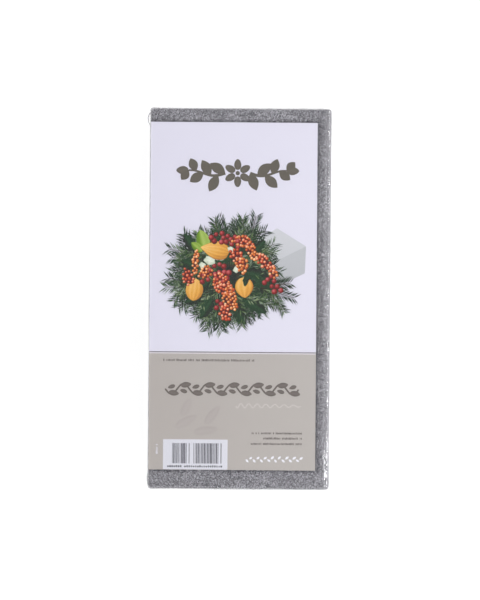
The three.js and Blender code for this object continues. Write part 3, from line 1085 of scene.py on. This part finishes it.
def garland():
    """The bold ornament at the head of the card: two leafy sprigs that meet at a small flower."""
    left, right, line = 16.5, 88.5, 30.6
    middle = (left + right) / 2
    art = Printed()
    paths = []
    for side in (-1, 1):
        path = []
        for n in range(15):
            s = n / 14
            x = middle + side * (7.5 + (right - middle - 14.0) * s)
            path.append((x, line + 1.6 * math.sin(math.pi * s * 1.6), 0.05))
        paths.append(path)
        art.ribbon([(x, y) for x, y, _ in path], [1.9 - 0.06 * n for n in range(15)], 0.05, "stone brown")
        art.leaf(path[-1][:2], 0.0 if side > 0 else math.pi, 7.6, 5.0, 0.052, "stone brown")
    for n in range(6):
        a = math.tau * n / 6 + math.pi / 6
        root = (middle + 1.9 * math.cos(a), line - 1.9 * math.sin(a))
        art.leaf(root, a, 6.6, 4.3, 0.054 + 0.001 * n, "stone brown", full=0.5)
    heart = [math.tau * n / 20 for n in range(20)]
    art.slab([(middle + 1.3 * math.cos(a), line + 1.3 * math.sin(a)) for a in heart], 0.062,
             "stone brown", [0.5] * 20)
    leaves = grown("garland_leaves", SPRAYS, {
        "Spacing": 4.4 * MM, "Outline points": 28, "Leaf length": 11.2 * MM, "Leaf width": 6.2 * MM,
        "Tip share": 0.66, "Spread": 0.88, "Spread jitter": 0.03, "Length jitter": 0.04,
        "Layer jitter": 0.012 * MM, "Ink": ink("stone brown"), "Tone": 0.5, "Tip tone": 0.0,
        "Tone jitter": 0.03, "Seed": 2, "Finish": PRINT,
    }, paths_mesh("garland stems", paths, (0.0, 0.0)))
    return [art.piece("garland_stems"), leaves]


def vine_band():
    """The running vine below the rule, and the pale flourish under it."""
    left, right, line = 8.8, 91.2, 160.8
    art = Printed()
    path = []
    for n in range(133):
        s = n / 132
        path.append((left + 1 + (right - left - 2) * s, line + 3.1 * math.sin(math.tau * 5.5 * s)))
    art.ribbon(path, [1.0] * len(path), 0.05, "warm grey")
    for n in range(11):
        s = (n + 0.5) / 11
        x = left + 1 + (right - left - 2) * s
        up = 1 if n % 2 else -1
        y = line - up * 2.6
        art.leaf((x - 1.6, y + up * 0.6), up * 0.15, 6.4, 3.4, 0.052, "warm grey", (0.5, 0.5, 0.9))
        art.leaf((x + 2.4, y + up * 4.6), math.pi - up * 0.3, 4.6, 2.4, 0.054, "warm grey",
                 (0.5, 0.5, 0.7))
    curl = []
    for n in range(90):
        s = n / 89
        curl.append((52.5 + 39 * s, 170.7 + (1.5 - 0.9 * s) * math.sin(math.tau * 7.5 * s ** 0.9)))
    art.ribbon(curl, [0.34 + 0.2 * math.sin(n * 0.9) ** 2 for n in range(90)], 0.05, "soft white", 0.4)
    ghosts = ((16, 184, 0.5, 15), (27, 187, 0.15, 15), (34, 182, 0.9, 14), (20, 177, 1.1, 12))
    for n, (x, y, heading, length) in enumerate(ghosts):
        art.leaf((x, y), heading, length, 5.5, 0.026 + 0.004 * n, "faint stone", (0.3, 0.6, 0.4))
    return art


def small_print():
    """Rows of tiny marks where the card has its small print, and the bar code in its white box."""
    art = Printed()
    box = ((8.8, 191.2), (47.7, 191.2), (47.7, card_length - 0.15), (8.8, card_length - 0.15))
    art.slab(box, 0.04, "paper white", (0.5, 0.55, 0.55, 0.5))
    rows = [
        marks("bars", 13.1, 205.7, 31.1, 12.2, 34, "bar black", 0.35, **{
            "Least width": 0.22, "Most width": 0.80, "Missing": 0.10, "Height jitter": 0.0, "Seed": 3}),
        marks("bar figures", 11.2, 208.0, 33.4, 1.25, 26, "bar black", 0.75, Seed=4, Missing=0.05),
        marks("top line", 8.4, 144.1, 55.1, 1.45, 62, "small grey", 0.50, Seed=6),
        marks("note line 1", 62.0, 187.8, 30.6, 1.3, 38, "small grey", 0.45, Seed=8),
        marks("note line 2", 69.0, 190.9, 23.6, 1.3, 29, "small grey", 0.45, Seed=10),
        marks("note line 3", 61.6, 194.2, 31.0, 1.3, 38, "small grey", 0.45, Seed=12),
        marks("edge line", 5.6, 200.2, 6.0, 1.3, 8, "paper white", 0.5, Seed=16, Turn=math.pi / 2),
    ]
    chain = grown("pale chain", SPRAYS, {
        "Spacing": 2.1 * MM, "Outline points": 12, "Leaf length": 3.0 * MM, "Leaf width": 1.5 * MM,
        "Tip share": 1.0, "Spread": 0.75, "Spread jitter": 0.2, "Length jitter": 0.25,
        "Layer jitter": 0.0, "Ink": ink("paper white"), "Tone": 0.9, "Tip tone": 0.0,
        "Tone jitter": 0.05, "Seed": 3, "Finish": PRINT,
    }, paths_mesh("chain path", [bent_path((58.6, 202.9), (91.0, 202.9), 0.0, MARK_LAYER)], (0.0,)))
    return [art.piece("code_box"), chain] + rows


def printed_card():
    """The card and the four groups of print on it."""
    label_card()
    ornament = joined("garland_print", garland())
    words = joined("band_print", [vine_band().piece("vine_band")] + small_print())
    picture = joined("picture_greens", [pictured_block()] + pictured_greenery())
    fruit = joined("picture_fruit", pictured_fruit())
    for piece in (ornament, words, picture, fruit):
        face_up(piece.data)
        belongs(piece, "card", "label_card")


# ---------------------------------------------------------------- seams and ears


def bead_tree():
    """A melted bead along a straight run: an oval tube that wanders, swells and shrinks."""
    tree, size = new_tree("welded bead", {
        "Run": "Float", "Wide": "Float", "Proud": "Float", "Wander": "Float", "Crimp": "Float",
        "Turn": "Vector", "Middle": "Vector", "Steps": "Int", "Seed": "Float",
    })
    half = maths(tree, "MULTIPLY", size["Run"], 0.5)
    line = put(tree, "GeometryNodeCurvePrimitiveLine", {
        "Start": xyz(tree, maths(tree, "MULTIPLY", half, -1.0)), "End": xyz(tree, half)}).outputs[0]
    line = put(tree, "GeometryNodeResampleCurve", {"Curve": line, "Count": size["Steps"]}).outputs[0]
    ring = put(tree, "GeometryNodeCurvePrimitiveCircle", {"Resolution": 10, "Radius": 0.5}).outputs[0]
    tube = put(tree, "GeometryNodeCurveToMesh", {
        "Curve": line, "Profile Curve": ring, "Fill Caps": True}).outputs[0]
    x, y, z = parts_of(tree, put(tree, "GeometryNodeInputPosition").outputs[0])[:3]
    swell = mottle(tree, xyz(tree, x, size["Seed"]), 420, 2)
    drift = mottle(tree, xyz(tree, x, size["Seed"], 1.0), 45, 1)
    from_end = maths(tree, "SUBTRACT", half, maths(tree, "ABSOLUTE", x))
    least = maths(tree, "SUBTRACT", 1.0, size["Crimp"])
    thick = maths(tree, "MULTIPLY", ranged(tree, swell, 0.3, 0.7, least, 1.0, "LINEAR"),
                  ranged(tree, from_end, 0.0, 2.5 * MM, 0.35, 1.0))
    proud = maths(tree, "MULTIPLY", maths(tree, "MULTIPLY", y, size["Proud"]), thick)
    across = maths(tree, "MULTIPLY", maths(tree, "MULTIPLY", z, size["Wide"]), thick)
    shift = maths(tree, "MULTIPLY", maths(tree, "SUBTRACT", drift, 0.5), size["Wander"])
    shaped = put(tree, "GeometryNodeSetPosition", {
        "Geometry": tube, "Position": xyz(tree, x, proud, maths(tree, "ADD", across, shift))}).outputs[0]
    placed = put(tree, "GeometryNodeTransform", {
        "Geometry": shaped, "Translation": size["Middle"],
        "Rotation": turned_by(tree, size["Turn"])}).outputs[0]
    return end_tree(tree, placed, size["Finish"])


BEAD = bead_tree()


def seam(name, node, seed):
    """A welded bead that fills a node's box along its longer side."""
    low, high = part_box(node)
    across, along, tall = high - low
    lengthwise = along > across
    run, proud = max(across, along), min(across, along)
    piece = grown(name, BEAD, {
        "Run": run, "Wide": tall, "Proud": proud, "Wander": 1.4 * MM, "Crimp": 0.45,
        "Turn": (0, 0, math.pi / 2 if lengthwise else 0), "Middle": (low + high) / 2,
        "Steps": round(run / (0.6 * MM)), "Seed": seed, "Finish": WELD,
    })
    belongs(smooth(piece), "weld", node)


def seams():
    """The three welds, one along the welded side and one across each end."""
    seam("side_bead", "side_seam", 1.7)
    seam("head_bead", "head_seam", 4.1)
    seam("foot_bead", "foot_seam", 8.3)


def ear(node, side, end, curl, seed):
    """A gathered corner of film: a pleated flap that narrows to a rounded tip and bulges between."""
    low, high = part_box(node)
    length, height = high.y - low.y, high.z - low.z
    root_y = high.y if end > 0 else low.y
    face = low.x if side > 0 else high.x
    across, along = 28, 22
    points = []
    for row in range(along + 1):
        s = row / along
        half = height / 2 * (1 - 0.72 * s ** 1.3) * math.sqrt(max(1 - s ** 8, 0.03))
        for column in range(across + 1):
            t = 2 * column / across - 1
            pleat = 0.5 + 0.5 * math.cos(math.pi * 5 * t + 1.2 * noise.noise(Vector((s * 3, t * 2, seed))))
            off = (0.12 + 0.50 * pleat * (1 - 0.5 * s)) * MM + curl * math.sin(math.pi * s ** 0.9)
            y = root_y - end * (length * s + 0.25 * MM * noise.noise(Vector((t * 4, s * 2, seed + 5))))
            z = (low.z + high.z) / 2 + half * t + 0.3 * MM * noise.noise(Vector((s * 4, t, seed + 9)))
            points.append((face + side * off, y, z))
    faces = rows_of_faces(along + 1, across + 1)
    if side * end < 0:
        faces = [face[::-1] for face in faces]
    mesh = bpy.data.meshes.new(node.replace("_ear_", "_flap_"))
    mesh.from_pydata(points, [], faces)
    mesh.materials.append(WELD)
    piece = in_scene(mesh.name, mesh)
    wall = piece.modifiers.new("Flap wall", "SOLIDIFY")
    wall.thickness, wall.offset = 0.10 * MM, 0
    belongs(smooth(piece), "weld", node)


def ears():
    """The four gathered corners. The head ear on the welded side stands out the most."""
    ear("head_ear_welded_side", -1, 1, 1.7 * MM, 11)
    ear("head_ear_folded_side", 1, 1, 0.3 * MM, 23)
    ear("foot_ear_welded_side", -1, -1, 0.6 * MM, 37)
    ear("foot_ear_folded_side", 1, -1, 0.3 * MM, 51)


# ---------------------------------------------------------------- studio


def studio():
    """A white table that glows a little, an even sky, soft lamps at the right and the foot, and
    small lamps that the film mirrors as sparks."""
    scene = bpy.context.scene
    scene.view_settings.view_transform = "Standard"
    scene.cycles.transparent_max_bounces = 24
    world = bpy.data.worlds.new("even light")
    world.use_nodes = True
    sky = world.node_tree
    height = parts_of(sky, put(sky, "ShaderNodeTexCoord").outputs["Generated"])[2]
    glow = put(sky, "ShaderNodeValToRGB", {0: height})
    stops = glow.color_ramp.elements
    stops[0].position, stops[0].color = 0.14, (0.30, 0.30, 0.30, 1)
    stops[1].position, stops[1].color = 0.98, (0.33, 0.33, 0.33, 1)
    for at, light in ((0.34, 0.87), (0.72, 0.83)):
        stops.new(at).color = (light, light, light, 1)
    sky.links.new(glow.outputs[0], sky.nodes["Background"].inputs["Color"])
    scene.world = world

    def lamp(name, spot, size, watts):
        light = bpy.data.lights.new(name, "AREA")
        light.shape, light.size, light.size_y, light.energy = "RECTANGLE", size[0], size[1], watts
        item = in_scene(name, light)
        item.location = spot
        aim = Vector((0, 0, foam_high.z)) - Vector(spot)
        item.rotation_euler = aim.to_track_quat("-Z", "Y").to_euler()

    lamp("right lamp", (0.86, 0.0, 0.94), (1.6, 0.7), 5.2)
    lamp("upper right strip", (0.85, 0.0, 1.17), (1.2, 0.07), 4.4)
    lamp("foot lamp", (0.1, -0.95, 1.25), (1.0, 0.6), 1.8)
    for spot in ((0.6, -1.4, 0.40), (-1.35, -0.6, 0.45), (-0.6, 1.4, 0.40), (-1.35, 0.7, 0.35)):
        lamp("spark lamp", spot, (0.06, 0.06), 0.25)
    lamp("glint lamp", (0.90, -0.097, 0.98), (0.07, 0.10), 1.6)

    reach = 3.0
    corners = [(-reach, -reach, 0), (reach, -reach, 0), (reach, reach, 0), (-reach, reach, 0)]
    mesh = bpy.data.meshes.new("table")
    mesh.from_pydata(corners, [], [(0, 1, 2, 3)])
    table = in_scene("table", mesh)
    finish, tree = new_finish("white table")
    matt = put(tree, "ShaderNodeBsdfPrincipled", {
        "Base Color": (0.42, 0.42, 0.42, 1), "Roughness": 0.9, "Specular IOR Level": 0.0,
        "Emission Color": (1, 1, 1, 1), "Emission Strength": 0.78})
    put(tree, "ShaderNodeOutputMaterial", {0: matt.outputs[0]})
    mesh.materials.append(finish)

    # The camera looks straight down from far off, with the brick in the middle.
    picture_height = 1.579 * (foam_high.y - foam_low.y)
    view = bpy.data.cameras.new("camera")
    view.lens, view.sensor_width = 250.0, 36.0
    view.clip_start, view.clip_end = 0.1, 20
    camera = in_scene("camera", view)
    camera.location = (0.18 * MM, -0.72 * MM,
                       foam_high.z + picture_height * view.lens / view.sensor_width)
    camera.rotation_euler = (0, 0, math.radians(0.45))
    scene.camera = camera


studio()
foam_brick()
printed_card()
shrink_film()
seams()
ears()
